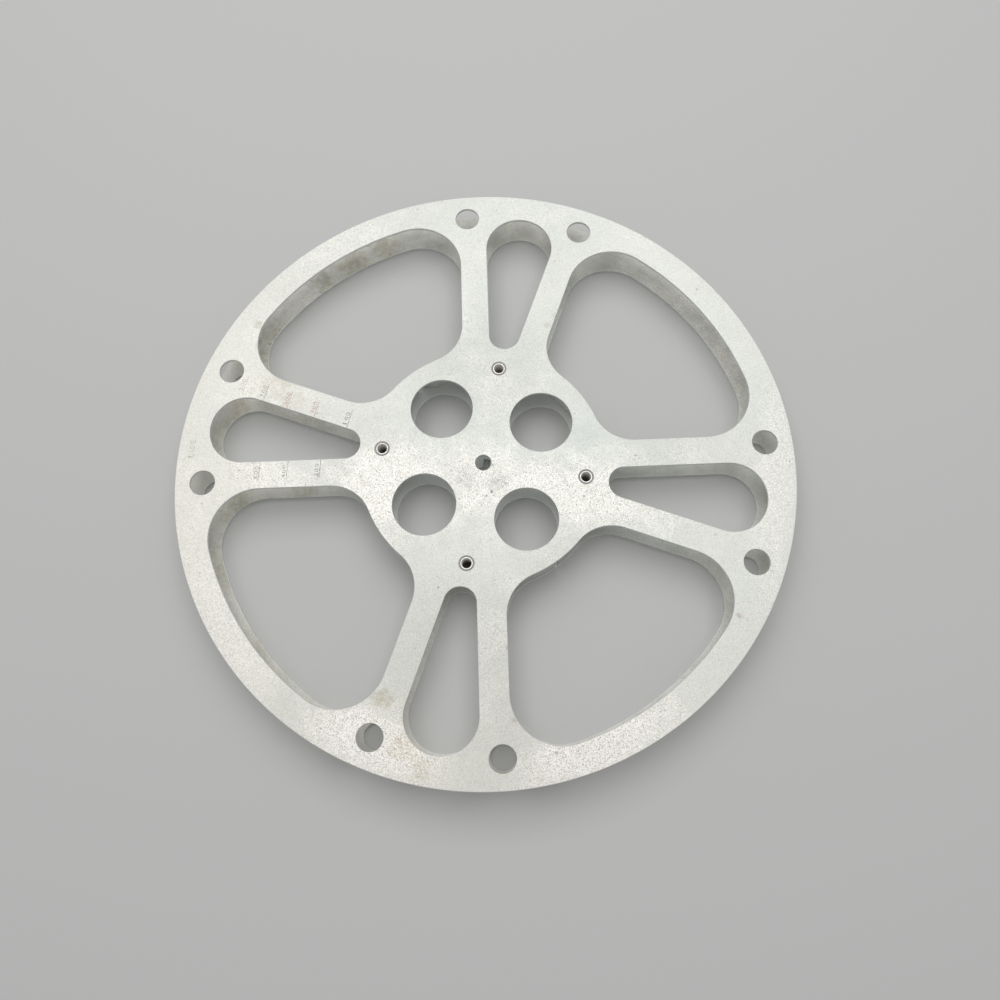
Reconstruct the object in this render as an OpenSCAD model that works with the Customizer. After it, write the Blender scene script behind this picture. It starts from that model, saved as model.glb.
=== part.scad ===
// Cine film reel for 16 mm film, 1200 ft size: two pierced flanges riveted to a core in two halves.
// It lies on its rear flange. The origin is on the spindle axis, in the rear flange's outer face.

/* [Flanges] */
// Diameter of each flange
flange_d = 311.2; // [290:0.1:340]
// Thickness of each flange
flange_t = 1.6; // [1.4:0.05:2.4]
// Clear space for the film between the flanges
film_gap = 17; // [16.2:0.1:19]
// Break on the rim's two edges
rim_break = 0.3; // [0.1:0.05:0.5]
// Width of the rim outside the openings
rim_w = 13.9; // [11:0.1:17]
// Width of each arm, between a window and a teardrop
arm_w = 14.2; // [12.5:0.1:17]
// Width of the hub plate's edge outside the core
hub_lip = 0.4; // [0:0.1:2]

/* [Windows] */
// Corner radius of a window beside the rim
window_rim_r = 24; // [18:0.5:28]
// Corner radius of a window beside the hub
window_hub_r = 21; // [16:0.5:25]

/* [Teardrops] */
// Distance from the hub plate's edge to a teardrop's narrow end
drop_gap = 1.5; // [0.5:0.1:8]
// Radius of a teardrop's narrow end
drop_tip_r = 8; // [6:0.1:9]
// Radius of a teardrop's wide end, which touches the rim
drop_wide_r = 17.6; // [15:0.1:19]

/* [Round holes] */
// Diameter of the holes in the rim
rim_hole_d = 12.7; // [9:0.1:14]
// Width of metal between a teardrop and the rim holes beside it
rim_hole_web = 10; // [7:0.1:12]
// Diameter of the holes in the hub plate
hub_hole_d = 31.75; // [24:0.05:34]
// Distance from the core's inside to the hub holes
hub_hole_gap = 3.3; // [0:0.1:6]

/* [Spindle] */
// Diameter of the spindle hole in both flanges
spindle_d = 8.1; // [7.5:0.05:9.5]
// Width of the keyway in the rear flange
key_w = 3.2; // [2.4:0.1:4]
// Distance from the spindle axis to the end of the keyway
key_reach = 7.9; // [6.5:0.1:10]

/* [Core] */
// Outer diameter of the core, where the film starts
core_d = 123; // [110:0.5:138]
// Thickness of the core's wall
core_wall = 6; // [5:0.1:7]
// Width of the mouths of the two slots that take the film's end
slot_w = 1.5; // [1:0.1:2.5]
// Angle of a slot's mouth, from the first spoke
slot_angle = 135; // [130:0.5:140]
// Lean of a slot's first wall from the radius
slot_lean = 52; // [40:1:58]
// Lean of a slot's second wall the other way, so that the slot opens inwards
slot_flare = 60; // [50:1:62]
// Thickness of the blunt lips at a slot's mouth
lip_t = 0.9; // [0.5:0.1:1.5]
// Diameter of the bosses around the rivets
boss_d = 11; // [10:0.1:13]

/* [Rivets] */
// Distance from the core's inside to the rivets' axes
rivet_inset = 3.6; // [2:0.1:4.5]
// Outer diameter of a rivet's tube
rivet_d = 5.5; // [4.5:0.1:6]
// Thickness of a rivet's tube
rivet_wall = 0.4; // [0.3:0.05:0.6]
// Radius of the roll at each end of a rivet
roll_r = 0.45; // [0.35:0.05:0.55]
// Depth of the rolls below the flanges' faces
roll_depth = 0.05; // [0.05:0.05:0.3]
// Clearance around a rivet
rivet_clearance = 0.05; // [0.03:0.01:0.1]

/* [Hidden] */
$fn = 96;

// Colours of the worn metal
FLANGE_COLOUR = [0.74, 0.75, 0.73];
CORE_COLOUR = [0.55, 0.55, 0.53];
RIVET_COLOUR = [0.80, 0.78, 0.74];

// Room that a cut needs beyond the faces it runs through
CUT = 1;
// How many times further out a far corner of a cutting shape lies
FAR = 2;
// Angle between the far corners of the shape that cuts the core in two
FAR_STEP = 45;
// How far the circle of a rounded corner runs over the sides that it joins
BLEND = 0.02;
// Spokes of each flange, with a window between each two and a rivet on each
SPOKES = 4;
// How far a rivet's end is rolled round, and the step between the points of the roll
ROLL_TURN = 270;
ROLL_STEP = 15;

// Levels along the axis
core_z = flange_t;
front_z = core_z + film_gap;
reel_h = front_z + flange_t;

// Layout of the flanges
spoke_step = 360 / SPOKES;
core_r = core_d / 2;
core_in_r = core_r - core_wall;
hub_r = core_r + hub_lip;
rim_in_r = flange_d / 2 - rim_w;
hub_hole_at = core_in_r - hub_hole_gap - hub_hole_d / 2;

// A teardrop: its wide end touches the rim, and its sides lean from its narrow end
drop_tip_at = hub_r + drop_gap + drop_tip_r;
drop_wide_at = rim_in_r - drop_wide_r;
drop_lean = asin((drop_wide_r - drop_tip_r) / (drop_wide_at - drop_tip_at));
drop_side = drop_tip_r - drop_tip_at * sin(drop_lean);

// The rim holes lie on the rim's inner circle, beside the teardrops' wide ends
rim_hole_reach = drop_wide_r + rim_hole_web + rim_hole_d / 2;
rim_hole_angle = acos(
    (pow(rim_in_r, 2) + pow(drop_wide_at, 2) - pow(rim_hole_reach, 2)) / (2 * rim_in_r * drop_wide_at)
);

// A window: its sides run parallel to the teardrops' sides, an arm's width away
window_side = drop_side + arm_w;
side_along = [cos(drop_lean), sin(drop_lean)];
side_out = [-sin(drop_lean), cos(drop_lean)];

// Centre of a window's corner of radius r, at a distance from the axis, beside the window's side
function corner_centre(r, distance) =
    let (reach = window_side + r - BLEND)
    side_out * reach + side_along * sqrt(pow(distance, 2) - pow(reach, 2));
// Point of that side where the corner begins
function corner_touch(r, centre) = centre - side_out * (r - BLEND);
// The same point on the next spoke's side of the window
function across(p) = [
    p[0] * cos(spoke_step) + p[1] * sin(spoke_step),
    p[0] * sin(spoke_step) - p[1] * cos(spoke_step)
];
function polar(r, a) = [r * cos(a), r * sin(a)];

rim_corner = corner_centre(window_rim_r, rim_in_r - window_rim_r + BLEND);
rim_touch = corner_touch(window_rim_r, rim_corner);
hub_corner = corner_centre(window_hub_r, hub_r + window_hub_r - BLEND);
hub_touch = corner_touch(window_hub_r, hub_corner);

// The slots of the core: a blunt lip on each side, -1 or 1, and behind it a wall that leans away
lip_r = core_r - lip_t;
lip_aside = asin(slot_w / core_d);
// Point of a lip's end face, at the radius r
function lip(r, side) = polar(r, slot_angle + side * lip_aside);
// Point of a wall's line that is nearest to the axis
function wall_foot(lean, side) = polar(lip_r * sin(lean), slot_angle + side * (lip_aside + 90 - lean));

// The rivets
rivet_at = core_in_r - rivet_inset;
rivet_in_r = rivet_d / 2 - rivet_wall;
rivet_hole_d = rivet_d + 2 * rivet_clearance;
roll_at = rivet_in_r + roll_r;
roll_drop = roll_depth + roll_r;
sink_mouth_r = roll_at + roll_drop + (roll_r + rivet_clearance) * sqrt(2);

// A teardrop, with its tip towards the hub
module teardrop() {
    tip_side = [drop_tip_at, 0] + side_out * (drop_tip_r - BLEND);
    wide_side = [drop_wide_at, 0] + side_out * (drop_wide_r - BLEND);
    translate([drop_tip_at, 0])
        circle(drop_tip_r);
    translate([drop_wide_at, 0])
        circle(drop_wide_r);
    polygon([
        [tip_side[0], -tip_side[1]],
        [wide_side[0], -wide_side[1]],
        wide_side,
        tip_side
    ]);
}

// A window between the first spoke and the next
module window() {
    intersection() {
        circle(rim_in_r);
        polygon([rim_corner, rim_corner * FAR, across(rim_corner) * FAR, across(rim_corner)]);
    }
    difference() {
        polygon([[0, 0], hub_corner, across(hub_corner)]);
        circle(hub_r);
    }
    polygon([
        hub_corner,
        hub_touch,
        rim_touch,
        rim_corner,
        across(rim_corner),
        across(rim_touch),
        across(hub_touch),
        across(hub_corner)
    ]);
    for (corner = [[rim_corner, window_rim_r], [hub_corner, window_hub_r]])
        for (centre = [corner[0], across(corner[0])])
            translate(centre)
                circle(corner[1]);
}

// Everything that is punched out of both flanges
module punched() {
    circle(d = spindle_d);
    for (spoke = [0 : SPOKES - 1])
        rotate(spoke * spoke_step) {
            teardrop();
            window();
            rotate(spoke_step / 2)
                translate([hub_hole_at, 0])
                    circle(d = hub_hole_d);
            for (side = [-1, 1])
                rotate(side * rim_hole_angle)
                    translate([rim_in_r, 0])
                        circle(d = rim_hole_d);
            translate([rivet_at, 0])
                circle(d = rivet_hole_d);
        }
}

// The slot that a driving key on the spindle fits
module keyway() {
    translate([-key_w / 2, 0])
        square([key_w, key_reach]);
}

// A flange lying on its outer face, with the rivets' sinks in that face
module flange(keyed) {
    difference() {
        rotate_extrude()
            polygon([
                [0, 0],
                [flange_d / 2 - rim_break, 0],
                [flange_d / 2, rim_break],
                [flange_d / 2, flange_t - rim_break],
                [flange_d / 2 - rim_break, flange_t],
                [0, flange_t]
            ]);
        translate([0, 0, -CUT])
            linear_extrude(flange_t + 2 * CUT) {
                punched();
                if (keyed)
                    keyway();
            }
        for (spoke = [0 : SPOKES - 1])
            rotate(spoke * spoke_step)
                translate([rivet_at, 0, -CUT])
                    cylinder(h = sink_mouth_r, r1 = sink_mouth_r + CUT, r2 = CUT);
    }
}

// Outline of one core half, whose slots are at slot_angle and half a turn away
module core_outline() {
    far_r = core_r * FAR;
    intersection() {
        difference() {
            circle(core_r);
            circle(core_in_r);
        }
        polygon(concat(
            [wall_foot(slot_lean, -1), lip(lip_r, -1), lip(far_r, -1)],
            [for (a = [FAR_STEP : FAR_STEP : 180 - FAR_STEP]) polar(far_r, slot_angle - a)],
            [-lip(far_r, 1), -lip(lip_r, 1), -wall_foot(slot_flare, 1)]
        ));
    }
    for (spoke = [0, 1])
        rotate(spoke * spoke_step)
            translate([rivet_at, 0])
                circle(d = boss_d);
}

module core_half(turn) {
    color(CORE_COLOUR)
        translate([0, 0, core_z])
            rotate(turn)
                linear_extrude(film_gap)
                    difference() {
                        core_outline();
                        for (spoke = [0, 1])
                            rotate(spoke * spoke_step)
                                translate([rivet_at, 0])
                                    circle(d = rivet_hole_d);
                    }
}

// A tube through both flanges, rolled outwards at each end
module rivet(angle) {
    bottom = [for (a = [0 : ROLL_STEP : ROLL_TURN]) polar(roll_r, 180 + a) + [roll_at, roll_drop]];
    top = [for (a = [0 : ROLL_STEP : ROLL_TURN]) polar(roll_r, 270 + a) + [roll_at, reel_h - roll_drop]];
    neck = roll_drop + roll_r;
    color(RIVET_COLOUR)
        rotate(angle)
            translate([rivet_at, 0, 0])
                rotate_extrude()
                    polygon(concat(
                        bottom,
                        [[rivet_d / 2, neck], [rivet_d / 2, reel_h - neck]],
                        top
                    ));
}

module rear_flange() {
    color(FLANGE_COLOUR)
        flange(keyed = true);
}

module front_flange() {
    color(FLANGE_COLOUR)
        translate([0, 0, reel_h])
            mirror([0, 0, 1])
                flange(keyed = false);
}

rear_flange();
front_flange();
core_half(0);  // core_half_right
core_half(180);  // core_half_left
rivet(0);  // rivet_right
rivet(90);  // rivet_upper
rivet(180);  // rivet_left
rivet(270);  // rivet_lower
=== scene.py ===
"""Looks of a cine film reel: two worn, pierced flanges riveted to a core in two halves.

Sizes are in millimetres, in the frame of the solids: the spindle axis is Z, two of the spokes lie along
X and Y, and the reel lies on its rear flange. A mesh is drawn in millimetres and becomes metres when its
piece is finished.
"""

import logging
import math
from dataclasses import dataclass, field
from enum import Enum
from typing import Mapping, Sequence

import bmesh
import bpy
from mathutils import Matrix, Vector


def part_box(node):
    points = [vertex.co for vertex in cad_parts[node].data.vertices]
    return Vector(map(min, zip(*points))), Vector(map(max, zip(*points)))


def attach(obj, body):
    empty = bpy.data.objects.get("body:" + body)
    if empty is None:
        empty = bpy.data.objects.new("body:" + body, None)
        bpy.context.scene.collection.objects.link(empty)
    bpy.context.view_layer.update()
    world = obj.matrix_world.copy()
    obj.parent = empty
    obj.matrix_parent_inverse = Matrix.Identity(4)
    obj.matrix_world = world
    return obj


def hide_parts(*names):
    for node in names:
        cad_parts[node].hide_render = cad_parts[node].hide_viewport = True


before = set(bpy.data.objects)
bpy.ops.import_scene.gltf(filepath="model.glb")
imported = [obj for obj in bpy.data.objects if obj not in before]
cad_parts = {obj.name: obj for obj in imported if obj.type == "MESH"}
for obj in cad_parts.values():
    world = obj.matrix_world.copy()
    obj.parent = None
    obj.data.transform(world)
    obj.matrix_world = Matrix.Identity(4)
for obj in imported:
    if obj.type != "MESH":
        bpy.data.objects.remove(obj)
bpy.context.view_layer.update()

LOG = logging.getLogger("film_reel")
BODY = "root"

MM = 0.001
SPOKES = 4
QUARTER = math.radians(90)
HALF_TURN = math.radians(180)
FULL_TURN = math.radians(360)
# Longest chord and widest angle between two points of a drawn arc
CHORD = 1.2
ARC_STEP = math.radians(6)
# Points closer than this are one point
TOUCH = 0.0005
# Faces that meet at less than this angle are one flat face
FLAT_ANGLE = math.radians(0.5)
# Edges that turn more than this stay sharp, and are the ones that get broken
SHARP_ANGLE = math.radians(50)
# A face is level where the upright part of its normal is more than this
LEVEL = 0.999
# The spindle axis in the drawing plane
AXIS = Vector((0, 0)).freeze()

Point = tuple[float, float]
Colour = tuple[float, float, float]
Mesh = bmesh.types.BMesh
Vert = bmesh.types.BMVert
Edge = bmesh.types.BMEdge
Material = bpy.types.Material


class Slot(Enum):
    """The record's material slots."""

    FLANGE = "flange_metal"
    CORE = "core_metal"
    RIVET = "rivet_metal"


class Ink(Enum):
    """Colours of the printed footage marks."""

    DARK = (0.055, 0.055, 0.060)
    RED = (0.50, 0.12, 0.10)
    BROWN = (0.30, 0.22, 0.14)
    OLIVE = (0.36, 0.32, 0.12)


class Arm(Enum):
    """The two arms that carry footage marks, as the side of the left spoke that they lie on."""

    UPPER = 1
    LOWER = -1


def polar(radius: float, angle: float) -> Vector:
    """Point of the drawing plane at a radius and an angle."""
    return Vector((radius * math.cos(angle), radius * math.sin(angle)))


def bearing(point: Vector) -> float:
    """Angle of a point of the drawing plane, seen from the axis."""
    return math.atan2(point.y, point.x)


def opaque(colour: Colour) -> tuple[float, float, float, float]:
    """The colour as a socket takes it."""
    return (*colour, 1.0)


# Shader maths


class Wire:
    """An output of a node, used like a number in shader maths."""

    def __init__(self, graph: "Graph", socket: bpy.types.NodeSocket) -> None:
        """Hold the socket and the graph that it lies in."""
        self.graph = graph
        self.socket = socket

    def join(self, operation: str, first: "Value", second: "Value") -> "Wire":
        """Output of a Math node that joins two values."""
        return self.graph.add("ShaderNodeMath", {"operation": operation}, {0: first, 1: second})

    def __add__(self, other: "Value") -> "Wire":
        """Sum."""
        return self.join("ADD", self, other)

    def __radd__(self, other: "Value") -> "Wire":
        """Sum, with the number first."""
        return self.join("ADD", other, self)

    def __sub__(self, other: "Value") -> "Wire":
        """Difference."""
        return self.join("SUBTRACT", self, other)

    def __rsub__(self, other: "Value") -> "Wire":
        """Difference, with the number first."""
        return self.join("SUBTRACT", other, self)

    def __mul__(self, other: "Value") -> "Wire":
        """Product."""
        return self.join("MULTIPLY", self, other)

    def __rmul__(self, other: "Value") -> "Wire":
        """Product, with the number first."""
        return self.join("MULTIPLY", other, self)

    def __abs__(self) -> "Wire":
        """Size without its sign."""
        return self.graph.add("ShaderNodeMath", {"operation": "ABSOLUTE"}, {0: self})

    def most(self, other: "Value") -> "Wire":
        """The larger of two values."""
        return self.join("MAXIMUM", self, other)

    def least(self, other: "Value") -> "Wire":
        """The smaller of two values."""
        return self.join("MINIMUM", self, other)

    def fade(self, start: float, end: float) -> "Wire":
        """Go smoothly from 0 to 1 as the value goes from start to end.

        Args:
            start: Value at which the result is 0.
            end: Value at which the result is 1. It may be the smaller one.

        Returns:
            The result, kept between 0 and 1.
        """
        if start > end:
            return 1 - self.fade(end, start)
        ends = {"Value": self, "From Min": start, "From Max": end}
        return self.graph.add("ShaderNodeMapRange", {"interpolation_type": "SMOOTHSTEP"}, ends)


Value = Wire | float


class Graph:
    """A material and its node tree."""

    MIX_FIRST, MIX_SECOND, MIX_RESULT = 6, 7, 2

    def __init__(self, name: str) -> None:
        """Make an empty material."""
        self.material = bpy.data.materials.new(name)
        self.material.use_nodes = True
        self.tree = self.material.node_tree
        self.tree.nodes.clear()

    def add(
        self,
        kind: str,
        settings: Mapping[str, object] | None = None,
        inputs: Mapping[str | int, object] | None = None,
        output: str | int = 0,
    ) -> Wire:
        """Add a node.

        Args:
            kind: The node's type.
            settings: Its own settings, which are set first.
            inputs: Values or wires of its sockets.
            output: The output to return.

        Returns:
            That output.
        """
        node = self.tree.nodes.new(kind)
        for key, value in (settings or {}).items():
            setattr(node, key, value)
        for key, value in (inputs or {}).items():
            if isinstance(value, Wire):
                self.tree.links.new(value.socket, node.inputs[key])
            else:
                node.inputs[key].default_value = value
        return Wire(self, node.outputs[output])

    def place(
        self, shift: Sequence[float] = (0, 0, 0), turn: float = 0, stretch: Sequence[float] = (1, 1, 1)
    ) -> Wire:
        """Object coordinates in millimetres.

        Args:
            shift: How far the pattern is moved.
            turn: How far it is turned about the spindle axis.
            stretch: How many times finer it gets along each axis.

        Returns:
            The coordinates.
        """
        where = self.add("ShaderNodeTexCoord", output="Object")
        settings = {
            "Vector": where,
            "Location": shift,
            "Rotation": (0, 0, turn),
            "Scale": [s / MM for s in stretch],
        }
        return self.add("ShaderNodeMapping", inputs=settings)

    def split(self, vector: Wire) -> tuple[Wire, Wire, Wire]:
        """The three parts of a vector or colour."""
        node = self.add("ShaderNodeSeparateXYZ", inputs={0: vector}).socket.node
        return tuple(Wire(self, socket) for socket in node.outputs)

    def flat_distance(self, first: Value, second: Value) -> Wire:
        """Length of a vector with these two parts."""
        square = first * first + second * second
        return self.add("ShaderNodeMath", {"operation": "SQRT"}, {0: square})

    def reach(self) -> Wire:
        """Distance from the spindle axis, in millimetres."""
        across, along, _ = self.split(self.place())
        return self.flat_distance(across, along)

    def noise(self, where: Wire, size: float, detail: float = 2, rough: float = 0.5) -> Wire:
        """Noise around 0.5, with clouds of a size in millimetres, and finer octaves of a strength in them."""
        inputs = {"Vector": where, "Scale": 1 / size, "Detail": detail, "Roughness": rough}
        return self.add("ShaderNodeTexNoise", inputs=inputs)

    def cells(self, where: Wire, size: float) -> tuple[Wire, Wire]:
        """Scattered points.

        Args:
            where: Coordinates in millimetres.
            size: Mean distance between the points.

        Returns:
            The distance to the nearest point, as a share of size, and that point's own random value.
        """
        inputs = {"Vector": where, "Scale": 1 / size}
        near = self.add("ShaderNodeTexVoronoi", inputs=inputs, output="Distance")
        luck = self.split(Wire(self, near.socket.node.outputs["Color"]))[0]
        return near, luck

    def mix(self, factor: Value, first: object, second: object, blend: str = "MIX") -> Wire:
        """Mix two colours.

        Args:
            factor: Share of the second colour.
            first: The first colour, or a wire.
            second: The second colour, or a wire.
            blend: How they are blended.

        Returns:
            The mixed colour.
        """
        first = first if isinstance(first, Wire) else opaque(first)
        second = second if isinstance(second, Wire) else opaque(second)
        inputs = {0: factor, self.MIX_FIRST: first, self.MIX_SECOND: second}
        return self.add("ShaderNodeMix", {"data_type": "RGBA", "blend_type": blend}, inputs, self.MIX_RESULT)

    def shade(self, colour: object, factor: Wire) -> Wire:
        """Darken or lighten a colour by a factor."""
        return self.mix(1.0, colour, factor, "MULTIPLY")

    def finish(self, layers: "Layers") -> Material:
        """Put layers on the surface.

        Args:
            layers: What varies over it.

        Returns:
            The material.
        """
        inputs = {"Base Color": layers.colour, "Roughness": layers.roughness, "Metallic": layers.metallic}
        if layers.height is not None:
            relief = {"Height": layers.height, "Distance": MM, "Strength": 1.0}
            inputs["Normal"] = self.add("ShaderNodeBump", inputs=relief)
        shader = self.add("ShaderNodeBsdfPrincipled", inputs=inputs)
        end = self.tree.nodes.new("ShaderNodeOutputMaterial")
        self.tree.links.new(shader.socket, end.inputs["Surface"])
        return self.material


@dataclass
class Layers:
    """What varies over a surface, with its relief in millimetres. What doesn't vary is a plain value."""

    colour: Wire | tuple[float, float, float, float]
    roughness: Value
    metallic: Value
    height: Wire | None = None


# Finishes

# How far noise breaks the edge of a spot or a patch, as a share of its size
SPOT_RAGGED = 2.4
PATCH_RAGGED = 0.9
# Where a spot is full, and where a patch ends and is full, as shares of its size
SPOT_FULL = 0.25
PATCH_END = 1.2
PATCH_FULL = 0.35
# Share of a spot that shows between its blotches
SPOT_LEAST = 0.15


@dataclass(frozen=True)
class Spot:
    """A stain or fleck at a place on a flange, broken up into blotches of a size."""

    at: Point
    size: float
    strength: float
    tone: Colour
    blotch: float = 3.5


@dataclass(frozen=True)
class Patch:
    """A part of a flange that is worn to the metal, full of specks and brighter, which is partly a painted
    sheen; the same shape also marks a dull, darker part, which is partly painted shade.
    """

    at: Point
    half_length: float
    half_width: float
    turn: float
    strength: float

    def mask(self, graph: Graph, across: Wire, along: Wire, ragged: Wire) -> Wire:
        """Where the patch lies.

        Args:
            graph: The graph that takes the nodes.
            across: Position along X.
            along: Position along Y.
            ragged: Noise that breaks its edge.

        Returns:
            The patch's mask.
        """
        aside, ahead = across - self.at[0], along - self.at[1]
        cos, sin = math.cos(self.turn), math.sin(self.turn)
        long = (aside * cos + ahead * sin) * (1 / self.half_length)
        wide = (ahead * cos - aside * sin) * (1 / self.half_width)
        reach = graph.flat_distance(long, wide) + (ragged - 0.5) * PATCH_RAGGED
        return reach.fade(PATCH_END, PATCH_FULL) * self.strength


RUST: Colour = (0.33, 0.19, 0.08)
TAN: Colour = (0.50, 0.36, 0.18)
OLIVE: Colour = (0.36, 0.32, 0.18)
STRAW: Colour = (0.50, 0.41, 0.20)
PINK: Colour = (0.55, 0.22, 0.20)
SOOT: Colour = (0.05, 0.05, 0.05)

FRONT_SPOTS: tuple[Spot, ...] = (
    Spot((-28.1, -121.3), 6.0, 0.42, STRAW),
    Spot((-16.1, -139.5), 9.0, 0.30, STRAW, 1.4),
    Spot((-5.2, -148.7), 7.0, 0.30, STRAW, 1.4),
    Spot((131.6, -57.7), 2.6, 0.35, RUST),
    Spot((25.8, -88.7), 2.2, 0.80, PINK, 0.9),
    Spot((33.8, -120.4), 2.2, 0.32, RUST, 0.9),
    Spot((-114.7, -16.3), 2.2, 0.50, PINK),
    Spot((-47.6, 148.7), 3.0, 0.25, PINK),
    Spot((22.8, 80.0), 4.0, 0.28, STRAW),
    Spot((25.1, 86.3), 4.0, 0.28, STRAW),
    Spot((-127.8, 47.2), 3.0, 0.30, OLIVE),
    Spot((-130.5, 58.8), 3.0, 0.30, OLIVE),
    Spot((-108.0, 27.0), 24.0, 0.20, STRAW, 9.0),
    Spot((6.4, -14.4), 0.8, 0.85, SOOT),
    Spot((4.3, -16.8), 0.8, 0.85, SOOT),
    Spot((8.5, -8.5), 7.0, 0.26, SOOT, 0.9),
    Spot((-7.0, -9.5), 8.0, 0.18, SOOT, 0.9),
    Spot((4.8, -0.6), 1.6, 0.45, SOOT, 0.9),
    Spot((54.5, -131.8), 0.9, 0.75, SOOT),
    Spot((-11.4, -65.5), 0.8, 0.70, SOOT),
    Spot((-59.2, 140.6), 0.8, 0.60, SOOT),
    Spot((75.0, 14.6), 0.8, 0.60, SOOT),
    Spot((117.5, -20.2), 0.8, 0.60, SOOT),
)

# Parts worn to the metal and full of specks, whose brightness across the hub and along the rim is partly a
# painted sheen
FRONT_BARE_AND_SHEEN: tuple[Patch, ...] = (
    Patch((-42.0, -19.0), 40, 29, 0, 0.68),
    Patch((3.0, -8.0), 32, 22, 0, 0.55),
    Patch((54.0, -8.0), 60, 21, 0, 0.60),
    Patch((-28.0, -140.0), 40, 16, math.radians(-10), 1.00),
    Patch((74.0, -124.0), 44, 16, math.radians(30), 1.00),
    Patch((-104.0, -24.0), 34, 12, math.radians(-9), 0.45),
    Patch((-112.0, 26.0), 34, 14, math.radians(9), 0.22),
    Patch((-96.0, 112.0), 40, 16, math.radians(45), 0.22),
    Patch((144.0, 8.0), 70, 12, QUARTER, 0.35),
    Patch((-111.0, -97.0), 50, 16, math.radians(-48), 0.36),
)

# Darker parts of the front face; the wide one over the lower arms is painted shade, darker towards the bottom
FRONT_DULL_AND_SHADE: tuple[Patch, ...] = (
    Patch((15.0, -110.0), 75, 55, 0, 1.30),
    Patch((-8.0, 52.0), 48, 36, 0, 0.70),
    Patch((108.0, 22.0), 44, 32, 0, 0.50),
    Patch((42.0, -44.0), 26, 20, 0, 0.60),
    Patch((-84.0, 117.0), 88, 30, math.radians(36), 0.70),
    Patch((8.0, 130.0), 44, 34, 0, 0.60),
    Patch((-66.0, -131.0), 20, 18, math.radians(-25), 0.60),
)

REAR_SPOTS: tuple[Spot, ...] = (
    Spot((-76.7, 127.1), 12.0, 0.52, TAN),
    Spot((-90.6, 113.3), 14.0, 0.46, TAN),
    Spot((-108.6, 100.4), 15.0, 0.45, OLIVE),
    Spot((-131.7, 64.2), 13.0, 0.45, OLIVE),
    Spot((-130.9, 50.0), 14.0, 0.45, OLIVE),
    Spot((-136.9, 17.5), 9.0, 0.35, TAN),
    Spot((-142.1, -1.8), 12.0, 0.30, OLIVE),
    Spot((-123.2, -38.2), 16.0, 0.45, OLIVE),
    Spot((-91.5, -23.7), 9.0, 0.40, OLIVE),
    Spot((-92.3, 16.9), 20.0, 0.35, OLIVE),
    Spot((-128.0, -70.0), 20.0, 0.35, OLIVE),
    Spot((-94.5, -112.6), 30.0, 0.25, OLIVE, 9.0),
    # Painted shade: this wide olive spot darkens the top of the rear rim's band
    Spot((2.0, 150.0), 54.0, 0.20, OLIVE, 9.0),
)

# A part of the rear film side that is worn to the metal, and painted brighter as well
REAR_BARE_AND_SHEEN: tuple[Patch, ...] = (Patch((106.0, 98.0), 75, 36, math.radians(-43), 0.55),)


@dataclass(frozen=True)
class Finish:
    """A look, which becomes a material."""

    name: str

    def layers(self, graph: Graph) -> Layers:
        """Work out what varies over the surface.

        Args:
            graph: The graph that takes the nodes.

        Returns:
            The layers.
        """
        raise NotImplementedError

    def material(self) -> Material:
        """The finish's material."""
        graph = Graph(self.name)
        return graph.finish(self.layers(graph))


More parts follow.
